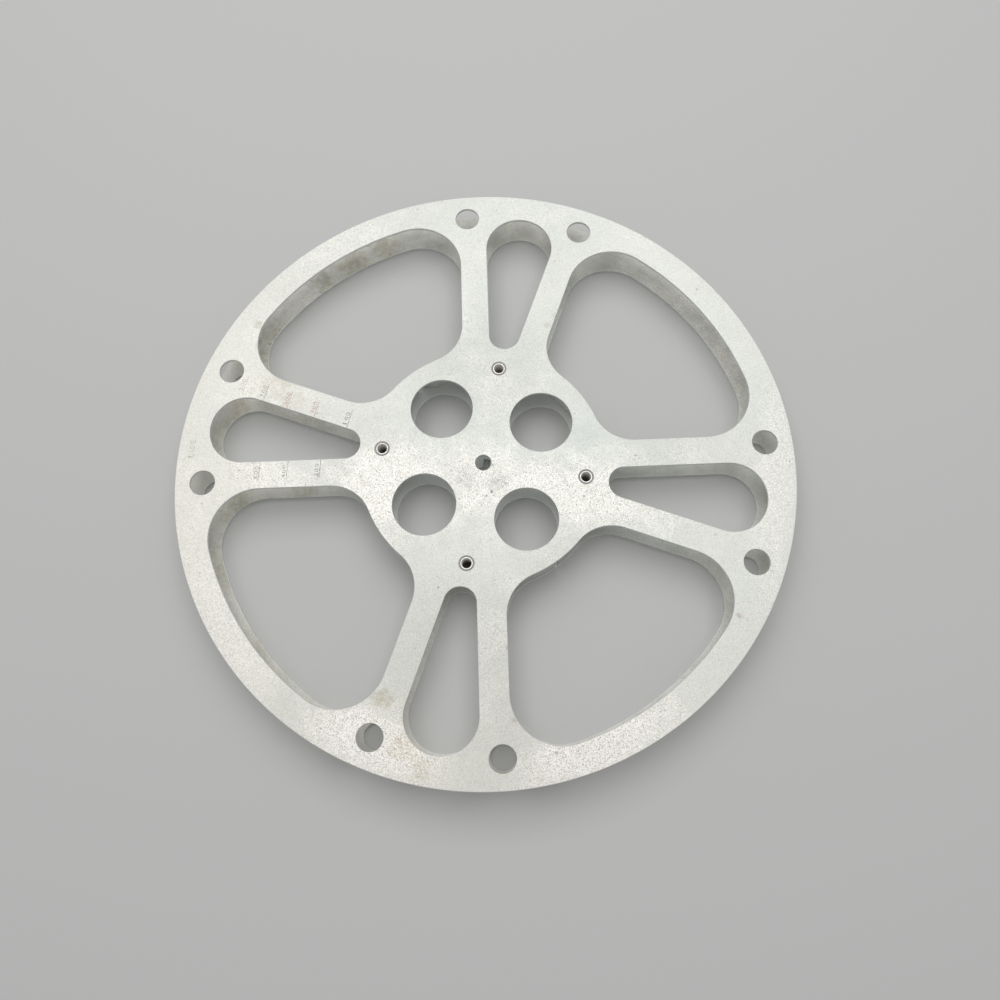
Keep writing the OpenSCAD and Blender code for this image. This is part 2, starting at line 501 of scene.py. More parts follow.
@dataclass(frozen=True)
class WornSheet(Finish):
    """Dull, finely pitted and stained sheet metal, as on the flanges' faces, with painted light and shade in
    its colour.
    """

    shift: tuple[float, float, float]
    spots: tuple[Spot, ...] = ()
    patches: tuple[Patch, ...] = ()
    dull: tuple[Patch, ...] = ()
    cool: Colour = (0.698, 0.721, 0.682)
    warm: Colour = (0.800, 0.785, 0.722)
    bare_tone: Colour = (0.880, 0.820, 0.755)
    pit_tone: Colour = (0.29, 0.25, 0.20)
    scratch_tone: Colour = (0.90, 0.90, 0.87)
    metal: float = 0.55
    roughness: float = 0.56
    # Direction in which the sheet gets warmer and lighter, a warmer tone with painted light in it, and where
    # that starts and ends
    warm_side: Point = (-0.72, -0.69)
    warm_from: float = -70.0
    warm_to: float = 150.0
    # Radii between which the sheet gets brighter and warmer towards the rim, which is painted light
    rim_from: float = 70.0
    rim_to: float = 135.0
    # Sizes of the clouds in its tone, from the broadest to the finest
    broad_size: float = 70.0
    cloud_size: float = 30.0
    mottle_size: float = 9.0
    frost_size: float = 1.5
    grain_size: float = 0.5
    # Size of the small specks, and distance between the large ones
    pit_size: float = 0.8
    pit_step: float = 11.0
    # Direction of each set of scratches with the shift of its pattern, and size of the scratched places
    scratch_sets: tuple[tuple[float, float], ...] = ((0.35, 11.0), (1.9, 47.0))
    scratch_stretch: tuple[float, float, float] = (0.03, 2.2, 1.0)
    scratched_size: float = 22.0

    def layers(self, graph: Graph) -> Layers:
        """Work out the sheet's tone, grain, pits, scratches and stains, and the painted light and shade in
        it.

        Args:
            graph: The graph that takes the nodes.

        Returns:
            The layers.
        """
        pattern = graph.place(self.shift)
        across, along, _ = graph.split(graph.place())
        # Warmer and lighter towards the lower left: a warmer tone, with painted light in it
        drift = (across * self.warm_side[0] + along * self.warm_side[1]).fade(self.warm_from, self.warm_to)
        broad = graph.noise(pattern, self.broad_size).fade(0.3, 0.7)
        # Painted light: the sheet is brighter and warmer towards the rim
        rim = graph.flat_distance(across, along).fade(self.rim_from, self.rim_to)
        colour = graph.mix(drift * 0.55 + rim * 0.20 + broad * 0.25, self.cool, self.warm)

        mottle = graph.noise(pattern, self.mottle_size, detail=4, rough=0.6)
        # Worn, speckled parts, painted brighter: their brightness is partly a painted sheen
        bare_and_sheen = graph.noise(pattern, self.cloud_size, detail=3).fade(0.52, 0.72) * 0.25
        for patch in self.patches:
            bare_and_sheen = patch.mask(graph, across, along, mottle).most(bare_and_sheen)
        # Darker parts: dullness, with painted shade in them
        dull: Value = 0.0
        for patch in self.dull:
            dull = patch.mask(graph, across, along, mottle).most(dull)
        colour = graph.mix(bare_and_sheen * 0.5, colour, self.bare_tone)

        grain = graph.noise(pattern, self.grain_size, detail=2, rough=0.6)
        frost = graph.cells(pattern, self.frost_size)[1]
        # Brighter towards the rim and on worn parts, which is painted light and sheen; darker on dull parts,
        # which is partly painted shade; the rest is mottle, frost and grain
        tone = (
            1.0
            + rim * 0.08
            + bare_and_sheen * 0.09
            - dull * (1 - bare_and_sheen) * 0.10
            + (mottle - 0.5) * 0.14
            + (frost - 0.5) * (bare_and_sheen * 0.08 + 0.03)
            + (grain - 0.5) * (bare_and_sheen * 1.75 + 0.65)
        )
        colour = graph.shade(colour, tone)

        pit = self.pits(graph, pattern, bare_and_sheen)
        colour = graph.mix(pit * 0.34, colour, self.pit_tone)
        scratch = self.scratches(graph)
        colour = graph.mix(scratch * 0.25, colour, self.scratch_tone)
        colour, stain = self.stains(graph, colour, across, along, mottle)

        wear = pit * 0.2 + stain * 0.2 - scratch * 0.1 - bare_and_sheen * 0.06
        roughness = self.roughness + (mottle - 0.5) * 0.22 + wear
        metallic = self.metal + bare_and_sheen * 0.10 - pit * 0.5 - stain * 0.5
        height = grain * 0.008 + mottle * 0.03 - pit * 0.035 - scratch * 0.004
        return Layers(colour, roughness, metallic, height)

    def pits(self, graph: Graph, pattern: Wire, bare_and_sheen: Wire) -> Wire:
        """Dark specks, which crowd where the sheet is worn to the metal.

        Args:
            graph: The graph that takes the nodes.
            pattern: Coordinates of the pattern.
            bare_and_sheen: Where the sheet is worn to the metal, and where a sheen is painted on it.

        Returns:
            The specks' mask.
        """
        fine = graph.noise(pattern, self.pit_size, detail=1)
        small = (fine - bare_and_sheen * 0.09).fade(0.31, 0.23)
        far, rare = graph.cells(pattern, self.pit_step)
        large = far.fade(0.062, 0.03) * rare.fade(0.55, 0.65)
        return small.most(large)

    def scratches(self, graph: Graph) -> Wire:
        """Fine hairlines that run two ways.

        Args:
            graph: The graph that takes the nodes.

        Returns:
            The scratches' mask.
        """
        masks = []
        for turn, offset in self.scratch_sets:
            hairs = graph.place((offset, offset, 0), turn, self.scratch_stretch)
            lines = graph.noise(hairs, size=1, detail=1)
            where = graph.noise(graph.place((offset, 0, 0)), self.scratched_size, detail=2)
            masks.append(abs(lines - 0.5).fade(0.012, 0.0) * where.fade(0.55, 0.68))
        return masks[0].most(masks[1])

    def stains(
        self, graph: Graph, colour: Wire, across: Wire, along: Wire, ragged: Wire
    ) -> tuple[Wire, Wire]:
        """Lay the placed stains and flecks on the sheet.

        Args:
            graph: The graph that takes the nodes.
            colour: The sheet's colour.
            across: Position along X.
            along: Position along Y.
            ragged: Noise that breaks the stains' edges.

        Returns:
            The stained colour, and the stains' mask.
        """
        pattern = graph.place(self.shift)
        blotches = {}
        for size in sorted({spot.blotch for spot in self.spots}):
            blotches[size] = graph.noise(pattern, size, detail=5, rough=0.75).fade(0.38, 0.62)
        total: Value = 0.0
        for spot in self.spots:
            reach = graph.flat_distance(across - spot.at[0], along - spot.at[1])
            ragged_reach = reach + (ragged - 0.5) * (SPOT_RAGGED * spot.size)
            near = ragged_reach.fade(spot.size, SPOT_FULL * spot.size)
            mask = near * (blotches[spot.blotch] * (1 - SPOT_LEAST) + SPOT_LEAST) * spot.strength
            colour = graph.mix(mask, colour, spot.tone)
            total = mask.most(total)
        return colour, total


@dataclass(frozen=True)
class FilmSide(WornSheet):
    """The side of a flange that faces the film: soiled in rings outside the core, with painted shade towards
    the rim, and cleaner and painted lighter inside the core.
    """

    core_r: float = 61.5
    soil: Colour = (0.26, 0.25, 0.22)
    clean: Colour = (0.88, 0.90, 0.88)
    ring_step: float = 1.6
    soil_size: float = 16.0
    # Half of the width over which the soil starts beside the core
    soil_edge: float = 1.0
    # Radii between which painted shade darkens the face towards the rim
    wiped_r: float = 143.5
    soiled_r: float = 150.0
    metal: float = 0.35

    def layers(self, graph: Graph) -> Layers:
        """Work out the sheet's layers, and lay soiling and painted shade over them, and painted light inside
        the core.

        Args:
            graph: The graph that takes the nodes.

        Returns:
            The layers.
        """
        layers = super().layers(graph)
        reach = graph.reach()
        outwards = graph.add("ShaderNodeCombineXYZ", inputs={0: reach})
        rings = graph.noise(outwards, self.ring_step, detail=3, rough=0.6)
        cloud = graph.noise(graph.place(self.shift), self.soil_size, detail=5, rough=0.7)
        outside = reach.fade(self.core_r - self.soil_edge, self.core_r + self.soil_edge)
        soil = outside * (rings * 0.15 + cloud * 0.85).fade(0.40, 0.65) * 0.22
        # Painted shade: darker towards the rim, between the flanges' rims
        soil = soil + reach.fade(self.wiped_r, self.soiled_r) * 0.20
        # Painted light: the face is cleaner and painted lighter inside the core
        layers.colour = graph.mix((1 - outside) * 0.8, layers.colour, self.clean)
        layers.colour = graph.mix(soil, layers.colour, self.soil)
        layers.metallic = layers.metallic * (1 - soil) * (outside * 0.8 + 0.2)
        layers.roughness = layers.roughness + soil * 0.15
        return layers


@dataclass(frozen=True)
class PrintedInk(WornSheet):
    """Worn ink on the sheet: where it is rubbed off, the sheet shows."""

    ink: Colour = Ink.DARK.value
    cover: float = 0.6
    rub_size: float = 1.1

    def layers(self, graph: Graph) -> Layers:
        """Work out the sheet's layers, and lay the ink over them.

        Args:
            graph: The graph that takes the nodes.

        Returns:
            The layers.
        """
        layers = super().layers(graph)
        left = graph.noise(graph.place(), self.rub_size, detail=3, rough=0.7).fade(0.30, 0.58) * self.cover
        layers.colour = graph.mix(left, layers.colour, self.ink)
        layers.metallic = layers.metallic * (1 - left)
        return layers


@dataclass(frozen=True)
class CutMetal(Finish):
    """Clean metal of punched walls and broken edges, with the marks of the cut across it."""

    tone: Colour = (0.84, 0.85, 0.82)
    dull: Colour = (0.66, 0.66, 0.62)
    metal: float = 0.4
    roughness: float = 0.36
    patch_size: float = 6.0
    shear_stretch: tuple[float, float, float] = (3.0, 3.0, 0.25)

    def layers(self, graph: Graph) -> Layers:
        """Work out the dull patches and the marks of the cut.

        Args:
            graph: The graph that takes the nodes.

        Returns:
            The layers.
        """
        patches = graph.noise(graph.place(), self.patch_size, detail=4, rough=0.65).fade(0.42, 0.7)
        shear = graph.noise(graph.place(stretch=self.shear_stretch), size=1)
        colour = graph.mix(patches * 0.7, self.tone, self.dull)
        colour = graph.shade(colour, 0.92 + shear * 0.16)
        roughness = self.roughness + patches * 0.15 + (shear - 0.5) * 0.2
        return Layers(colour, roughness, self.metal - patches * 0.2, shear * 0.02)


@dataclass(frozen=True)
class GrimySink(Finish):
    """Countersunk metal with old grime in it."""

    tone: Colour = (0.82, 0.80, 0.77)
    grime: Colour = (0.62, 0.59, 0.55)
    metal: float = 0.8
    roughness: float = 0.5
    dirt_size: float = 1.4

    def layers(self, graph: Graph) -> Layers:
        """Work out where the grime lies.

        Args:
            graph: The graph that takes the nodes.

        Returns:
            The layers.
        """
        dirt = graph.noise(graph.place(), self.dirt_size, detail=3, rough=0.6).fade(0.30, 0.62)
        colour = graph.mix(dirt, self.tone, self.grime)
        return Layers(colour, self.roughness + dirt * 0.3, self.metal - dirt * 0.6, dirt * 0.03)


@dataclass(frozen=True)
class TurnedCore(Finish):
    """Dull metal of the core, with fine rings from turning, some dark stains, and soiling with painted shade
    on its outside, where the film lies.
    """

    core_r: float
    core_in_r: float
    tone: Colour = (0.84, 0.85, 0.82)
    dark: Colour = (0.60, 0.59, 0.56)
    soil: Colour = (0.27, 0.26, 0.23)
    metal: float = 0.4
    roughness: float = 0.48
    ring_step: float = 0.35
    # How fast the rings' pattern changes along them
    ring_drift: float = 0.02
    # How far outside the core's inside the soiling and painted shade start
    soil_from: float = 1.0
    blotch_size: float = 11.0
    grain_size: float = 0.5

    def layers(self, graph: Graph) -> Layers:
        """Work out the rings, the stains, and the soiling with its painted shade.

        Args:
            graph: The graph that takes the nodes.

        Returns:
            The layers.
        """
        stretch = (self.ring_drift, self.ring_drift, 1 / self.ring_step)
        rings = graph.noise(graph.place(stretch=stretch), size=1)
        blotch = graph.noise(graph.place(), self.blotch_size, detail=5, rough=0.65).fade(0.45, 0.75)
        grain = graph.noise(graph.place(), self.grain_size, detail=2)
        colour = graph.mix(blotch * 0.6, self.tone, self.dark)
        colour = graph.shade(colour, 0.86 + rings * 0.18 + grain * 0.10)
        # Soiling and painted shade: darker towards the core's outside, between the flanges
        film = graph.reach().fade(self.core_in_r + self.soil_from, self.core_r) * (blotch * 0.3 + 0.45)
        colour = graph.mix(film, colour, self.soil)
        roughness = self.roughness + blotch * 0.2 + (rings - 0.5) * 0.15
        metallic = self.metal - blotch * 0.2 - film * 0.2
        return Layers(colour, roughness, metallic, rings * 0.02 + grain * 0.01)


@dataclass(frozen=True)
class RolledTube(Finish):
    """Bright rivet metal on the rolled ends, dull in the tube's mouth, and painted shade that darkens it
    further down.
    """

    rivet_at: float
    bore_r: float
    edge_r: float
    reel_h: float
    bright: Colour = (0.80, 0.79, 0.76)
    dull: Colour = (0.82, 0.80, 0.76)
    # Painted shade deep inside the tube
    dark: Colour = (0.42, 0.40, 0.36)
    roughness: float = 0.32
    # Distances outside the bore where the dull mouth ends and is full, and width of the grimy rim
    mouth_end: float = 0.25
    mouth_full: float = 0.05
    rim_w: float = 0.15
    # Depths between which painted shade darkens the tube
    dull_depth: float = 1.5
    dark_depth: float = 9.0
    wear_size: float = 1.2

    def layers(self, graph: Graph) -> Layers:
        """Work out the mouth, the rim and the wear, on the distance to the nearest rivet's axis, and the
        painted shade deep in the tube.

        Args:
            graph: The graph that takes the nodes.

        Returns:
            The layers.
        """
        across, along, up = graph.split(graph.place())
        reach = abs(across).most(abs(along)) - self.rivet_at
        aside = abs(across).least(abs(along))
        from_axis = graph.flat_distance(reach, aside)
        inside = from_axis.fade(self.bore_r + self.mouth_end, self.bore_r + self.mouth_full)
        below = up.least(self.reel_h - up).fade(self.dull_depth, self.dark_depth)
        rim = from_axis.fade(self.edge_r - self.rim_w, self.edge_r)
        wear = graph.noise(graph.place(), self.wear_size, detail=4, rough=0.65).fade(0.38, 0.68)
        grime = inside.most(rim * 0.3).most(wear * 0.22)
        colour = graph.mix(grime, self.bright, self.dull)
        # Painted shade: the tube darkens deeper down
        colour = graph.mix(inside * below, colour, self.dark)
        roughness = self.roughness + wear * 0.14 + grime * 0.3
        return Layers(colour, roughness, 1 - grime * 0.9, wear * 0.015)


# Drawing


@dataclass(frozen=True)
class Arc:
    """An arc of an outline, or a corner where sweep is 0."""

    centre: Vector
    start: Vector
    sweep: float

    @property
    def steps(self) -> int:
        """Number of chords that it is drawn with."""
        radius = (self.start - self.centre).length
        return max(math.ceil(abs(self.sweep) * radius / CHORD), math.ceil(abs(self.sweep) / ARC_STEP))

    @property
    def end(self) -> Vector:
        """Its last point."""
        return self.centre + Matrix.Rotation(self.sweep, 2) @ (self.start - self.centre)


class Drawing:
    """Closed outlines in one plane, which become a punched plate."""

    def __init__(self) -> None:
        """Start an empty drawing."""
        self.bm = bmesh.new()

    def circle(self, centre: Vector, radius: float) -> None:
        """Draw a round outline."""
        steps = Arc(AXIS, Vector((radius, 0)), FULL_TURN).steps
        place = Matrix.Translation(centre.to_3d())
        bmesh.ops.create_circle(self.bm, cap_ends=False, radius=radius, segments=steps, matrix=place)

    def arc(self, arc: Arc) -> tuple[Vert, Vert]:
        """Draw one arc.

        Args:
            arc: The arc.

        Returns:
            Its first and last points.
        """
        first = self.bm.verts.new(arc.start.to_3d())
        if not arc.sweep:
            return first, first
        swept = bmesh.ops.spin(
            self.bm,
            geom=[first],
            cent=arc.centre.to_3d(),
            axis=(0, 0, 1),
            angle=arc.sweep,
            steps=arc.steps,
        )
        return first, swept["geom_last"][0]

    def loop(self, arcs: Sequence[Arc], turn: float = 0) -> None:
        """Draw a closed outline of arcs with straight lines between them.

        Args:
            arcs: The arcs, in order.
            turn: Angle that the outline is turned about the axis.
        """
        before = set(self.bm.verts)
        ends = [self.arc(arc) for arc in arcs]
        for (_, last), (first, _) in zip(ends, ends[1:] + ends[:1]):
            if (first.co - last.co).length > TOUCH:
                self.bm.edges.new((last, first))
        made = [vert for vert in self.bm.verts if vert not in before]
        bmesh.ops.rotate(self.bm, verts=made, cent=(0, 0, 0), matrix=Matrix.Rotation(turn, 3, "Z"))

    def plate(self, thickness: float) -> Mesh:
        """Fill the outlines, so that the inner ones are holes, and give the sheet its thickness.

        Args:
            thickness: The sheet's thickness, upwards from the drawing plane.

        Returns:
            The plate's mesh.
        """
        bm = self.bm
        bmesh.ops.remove_doubles(bm, verts=bm.verts, dist=TOUCH)
        bmesh.ops.triangle_fill(bm, use_beauty=True, use_dissolve=False, edges=bm.edges, normal=(0, 0, 1))
        inner = [edge for edge in bm.edges if len(edge.link_faces) == 2]
        bmesh.ops.dissolve_limit(bm, angle_limit=FLAT_ANGLE, verts=[], edges=inner)
        raise_faces(bm, thickness)
        return bm


def raise_faces(bm: Mesh, height: float) -> None:
    """Give flat faces their thickness.

    Args:
        bm: The faces' mesh.
        height: The thickness, upwards.
    """
    raised = bmesh.ops.extrude_face_region(bm, geom=bm.faces[:])["geom"]
    verts = [part for part in raised if isinstance(part, Vert)]
    bmesh.ops.translate(bm, verts=verts, vec=(0, 0, height))
    bmesh.ops.recalc_face_normals(bm, faces=bm.faces)


def level_edges(bm: Mesh) -> list[Edge]:
    """Edges that lie level and where the surface turns sharply."""
    sharp = [edge for edge in bm.edges if edge.calc_face_angle(0) > SHARP_ANGLE]
    return [edge for edge in sharp if abs(edge.verts[0].co.z - edge.verts[1].co.z) < TOUCH]


def break_edges(bm: Mesh, edges: Sequence[Edge], size: float, segments: int) -> None:
    """Bevel edges by a size: 1 segment makes a chamfer, and more make a round."""
    bmesh.ops.bevel(
        bm, geom=edges, offset=size, segments=segments, profile=0.5, affect="EDGES", material=-1
    )


def shade_by_angle(bm: Mesh) -> None:
    """Shade walls and rounds smooth, and leave flat faces and sharp edges crisp."""
    for face in bm.faces:
        face.smooth = abs(face.normal.z) < LEVEL
    for edge in bm.edges:
        edge.smooth = edge.calc_face_angle(0) < SHARP_ANGLE


def put(name: str, data: bpy.types.ID) -> bpy.types.Object:
    """Put an object with this data in the scene.

    Args:
        name: The object's name.
        data: Its mesh, curve, lamp or camera.

    Returns:
        The object.
    """
    made = bpy.data.objects.new(name, data)
    bpy.context.scene.collection.objects.link(made)
    return made


def put_mesh(name: str, bm: Mesh, materials: Sequence[Material]) -> bpy.types.Object:
    """Put a mesh in the scene.

    Args:
        name: The object's name.
        bm: The mesh, which is freed.
        materials: Its materials, in the order of its faces' indices.

    Returns:
        The object.
    """
    mesh = bpy.data.meshes.new(name)
    bm.to_mesh(mesh)
    bm.free()
    for material in materials:
        mesh.materials.append(material)
    return put(name, mesh)


def finish_piece(
    name: str, bm: Mesh, materials: Sequence[Material], nodes: Sequence[str] = ()
) -> None:
    """Turn a mesh in millimetres into a piece of the part.

    Args:
        name: The piece's name.
        bm: Its mesh, which is freed.
        materials: Its materials, in the order of its faces' indices.
        nodes: The nodes that it stands for.
    """
    bmesh.ops.scale(bm, vec=(MM, MM, MM), verts=bm.verts)
    piece = put_mesh(name, bm, materials)
    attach(piece, BODY)
    if nodes:
        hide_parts(*nodes)
    LOG.info("%s: %d faces", name, len(piece.data.polygons))


# The reel's layout


@dataclass(frozen=True)
class ReelSizes:
    """Driving sizes of the reel, and where they put its openings and rivets."""

    flange_d: float
    flange_t: float
    reel_h: float
    core_d: float
    rim_break: float = 0.3
    rim_w: float = 13.9
    arm_w: float = 14.2
    hub_lip: float = 0.4
    window_rim_r: float = 24.0
    window_hub_r: float = 21.0
    drop_gap: float = 1.5
    drop_tip_r: float = 8.0
    drop_wide_r: float = 17.6
    rim_hole_d: float = 12.7
    rim_hole_web: float = 10.0
    hub_hole_d: float = 31.75
    hub_hole_gap: float = 3.3
    spindle_d: float = 8.1
    key_w: float = 3.2
    key_reach: float = 7.9
    core_wall: float = 6.0
    slot_w: float = 1.5
    slot_angle: float = math.radians(135)
    slot_lean: float = math.radians(52)
    slot_flare: float = math.radians(60)
    lip_t: float = 0.9
    boss_d: float = 11.0
    rivet_inset: float = 3.6
    rivet_d: float = 5.5
    rivet_wall: float = 0.4
    roll_r: float = 0.45
    roll_depth: float = 0.05
    rivet_clearance: float = 0.05

    @classmethod
    def from_frame(cls) -> "ReelSizes":
        """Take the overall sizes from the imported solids.

        Returns:
            The sizes.
        """
        low, high = (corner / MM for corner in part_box("rear_flange"))
        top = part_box("front_flange")[1] / MM
        core_low, core_high = (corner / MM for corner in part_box("core_half_right"))
        reach = max(core_high.x, core_high.y, -core_low.x, -core_low.y)
        return cls(high.x - low.x, high.z - low.z, top.z, 2 * reach)

    @property
    def flange_r(self) -> float:
        """Radius of a flange."""
        return self.flange_d / 2

    @property
    def rim_in_r(self) -> float:
        """Radius of the rim's inner side."""
        return self.flange_r - self.rim_w

    @property
    def film_gap(self) -> float:
        """Space between the flanges."""
        return self.reel_h - 2 * self.flange_t

    @property
    def core_r(self) -> float:
        """Radius of the core's outside."""
        return self.core_d / 2

    @property
    def core_in_r(self) -> float:
        """Radius of the core's inside."""
        return self.core_r - self.core_wall

    @property
    def hub_r(self) -> float:
        """Radius of the hub plate."""
        return self.core_r + self.hub_lip

    @property
    def hub_hole_at(self) -> float:
        """Distance from the axis to the hub holes."""
        return self.core_in_r - self.hub_hole_gap - self.hub_hole_d / 2

    @property
    def drop_tip_at(self) -> float:
        """Distance from the axis to the centre of a teardrop's narrow end."""
        return self.hub_r + self.drop_gap + self.drop_tip_r

    @property
    def drop_wide_at(self) -> float:
        """Distance from the axis to the centre of a teardrop's wide end."""
        return self.rim_in_r - self.drop_wide_r

    @property
    def drop_lean(self) -> float:
        """Angle between a teardrop's side and its spoke."""
        return math.asin((self.drop_wide_r - self.drop_tip_r) / (self.drop_wide_at - self.drop_tip_at))

    @property
    def drop_side(self) -> float:
        """Distance from the axis to the line of a teardrop's upper side."""
        return self.drop_tip_r - self.drop_tip_at * math.sin(self.drop_lean)

    @property
    def rim_hole_angle(self) -> float:
        """Angle between a spoke and the rim holes beside it."""
        reach = self.drop_wide_r + self.rim_hole_web + self.rim_hole_d / 2
        sides = 2 * self.rim_in_r * self.drop_wide_at
        return math.acos((self.rim_in_r**2 + self.drop_wide_at**2 - reach**2) / sides)

    @property
    def rivet_at(self) -> float:
        """Distance from the axis to the rivets."""
        return self.core_in_r - self.rivet_inset

    @property
    def rivet_hole_r(self) -> float:
        """Radius of the holes for the rivets."""
        return self.rivet_d / 2 + self.rivet_clearance

    @property
    def rivet_in_r(self) -> float:
        """Radius of a rivet's bore."""
        return self.rivet_d / 2 - self.rivet_wall

    @property
    def roll_at(self) -> float:
        """Distance from a rivet's axis to the middle of its roll."""
        return self.rivet_in_r + self.roll_r

    @property
    def roll_drop(self) -> float:
        """Depth of the middle of a roll below the flange's face."""
        return self.roll_depth + self.roll_r

    @property
    def sink_depth(self) -> float:
        """Depth of the countersinks for the rolls, which open at 45 degrees."""
        mouth = self.roll_at + self.roll_drop + (self.roll_r + self.rivet_clearance) * math.sqrt(2)
        return mouth - self.rivet_hole_r

    @property
    def sink_r(self) -> float:
        """Radius of the countersinks' mouths."""
        return self.rivet_hole_r + self.sink_depth

    def teardrop(self) -> list[Arc]:
        """Outline of the first spoke's teardrop.

        Returns:
            Its arcs.
        """
        wide_turn = HALF_TURN + 2 * self.drop_lean
        wide = Vector((self.drop_wide_at, 0))
        tip = Vector((self.drop_tip_at, 0))
        return [
            Arc(wide, wide + polar(self.drop_wide_r, -wide_turn / 2), wide_turn),
            Arc(tip, tip + polar(self.drop_tip_r, wide_turn / 2), FULL_TURN - wide_turn),
        ]

    def corner(self, radius: float, distance: float) -> Vector:
        """Centre, at a distance from the axis, of a window's corner of a radius beside the first spoke."""
        reach = self.drop_side + self.arm_w + radius
        along = math.sqrt(distance**2 - reach**2)
        return polar(1, self.drop_lean + QUARTER) * reach + polar(1, self.drop_lean) * along

    def window(self) -> list[Arc]:
        """Outline of the window between the first spoke and the next.

        Returns:
            Its arcs.
        """
        rim = self.corner(self.window_rim_r, self.rim_in_r - self.window_rim_r)
        hub = self.corner(self.window_hub_r, self.hub_r + self.window_hub_r)
        rim_far = rim.yx
        hub_far = hub.yx
        # Angles, seen from a corner's centre, of the points where it meets the side
        side = self.drop_lean - QUARTER
        far_side = HALF_TURN - self.drop_lean
        rim_sweep = bearing(rim) - side
        hub_sweep = side + HALF_TURN - bearing(hub)
        return [
            Arc(rim, rim + polar(self.window_rim_r, side), rim_sweep),
            Arc(AXIS, polar(self.rim_in_r, bearing(rim)), bearing(rim_far) - bearing(rim)),
            Arc(rim_far, rim_far + polar(self.window_rim_r, bearing(rim_far)), rim_sweep),
            Arc(hub_far, hub_far + polar(self.window_hub_r, far_side), hub_sweep),
            Arc(AXIS, polar(self.hub_r, bearing(hub_far)), bearing(hub) - bearing(hub_far)),
            Arc(hub, hub + polar(self.window_hub_r, bearing(hub) - HALF_TURN), hub_sweep),
        ]

    def keyed_hole(self) -> list[Arc]:
        """Outline of the rear flange's spindle hole, with its keyway along +Y.

        Returns:
            Its arcs.
        """
        radius = self.spindle_d / 2
        side = math.acos(self.key_w / self.spindle_d)
        right = Vector((self.key_w / 2, self.key_reach))
        left = Vector((-self.key_w / 2, self.key_reach))
        return [
            Arc(AXIS, polar(radius, HALF_TURN - side), HALF_TURN + 2 * side),
            Arc(right, right, 0),
            Arc(left, left, 0),
        ]

    @property
    def lip_r(self) -> float:
        """Radius of the inner corner of the slots' blunt lips."""
        return self.core_r - self.lip_t

    def lip(self, radius: float, side: int) -> Vector:
        """Point at a radius on the end of the first slot's lip at one side, -1 or 1."""
        return polar(radius, self.slot_angle + side * math.asin(self.slot_w / self.core_d))

    def wall_end(self, lean: float, side: int) -> Vector:
        """Point where the first slot's leaning wall at one side, -1 or 1, meets the core's inside."""
        aside = math.asin(self.lip_r * math.sin(lean) / self.core_in_r) - lean
        return polar(self.core_in_r, bearing(self.lip(self.lip_r, side)) + side * aside)

    def boss(self, turn: float) -> Arc:
        """Outline of a boss, where it stands out of the core's inside.

        Args:
            turn: Angle of its spoke.

        Returns:
            The arc.
        """
        radius = self.boss_d / 2
        sides = 2 * self.core_in_r * self.rivet_at
        half = math.acos((self.core_in_r**2 + self.rivet_at**2 - radius**2) / sides)
        start = polar(self.core_in_r, turn + half)
        centre = polar(self.rivet_at, turn)
        sweep = FULL_TURN - 2 * (bearing(start - centre) - turn)
        return Arc(centre, start, sweep)

    def core_half(self) -> list[Arc]:
        """Outline of the half that lies on the first two spokes.

        Returns:
            Its arcs.
        """
        first, second = self.lip(self.lip_r, -1), -self.lip(self.lip_r, 1)
        arcs = [
            Arc(AXIS, -self.lip(self.core_r, 1), bearing(first) - bearing(second)),
            Arc(first, first, 0),
        ]
        at = bearing(self.wall_end(self.slot_lean, -1))
        for boss in (self.boss(QUARTER), self.boss(0)):
            arcs += [Arc(AXIS, polar(self.core_in_r, at), bearing(boss.start) - at), boss]
            at = bearing(boss.end)
        arcs += [
            Arc(AXIS, polar(self.core_in_r, at), bearing(-self.wall_end(self.slot_flare, 1)) - at),
            Arc(second, second, 0),
        ]
        return arcs

    def from_rivet(self, point: Vector) -> float:
        """Distance from a point to the nearest rivet's axis."""
        reach = max(abs(point.x), abs(point.y)) - self.rivet_at
        aside = min(abs(point.x), abs(point.y))
        return math.hypot(reach, aside)


# Sub-assemblies


class FacePart(Enum):
    """Faces of a flange, by the finish that they take."""

    SHEET = 0
    FILM_SIDE = 1
    CUT = 2
    SINK = 3


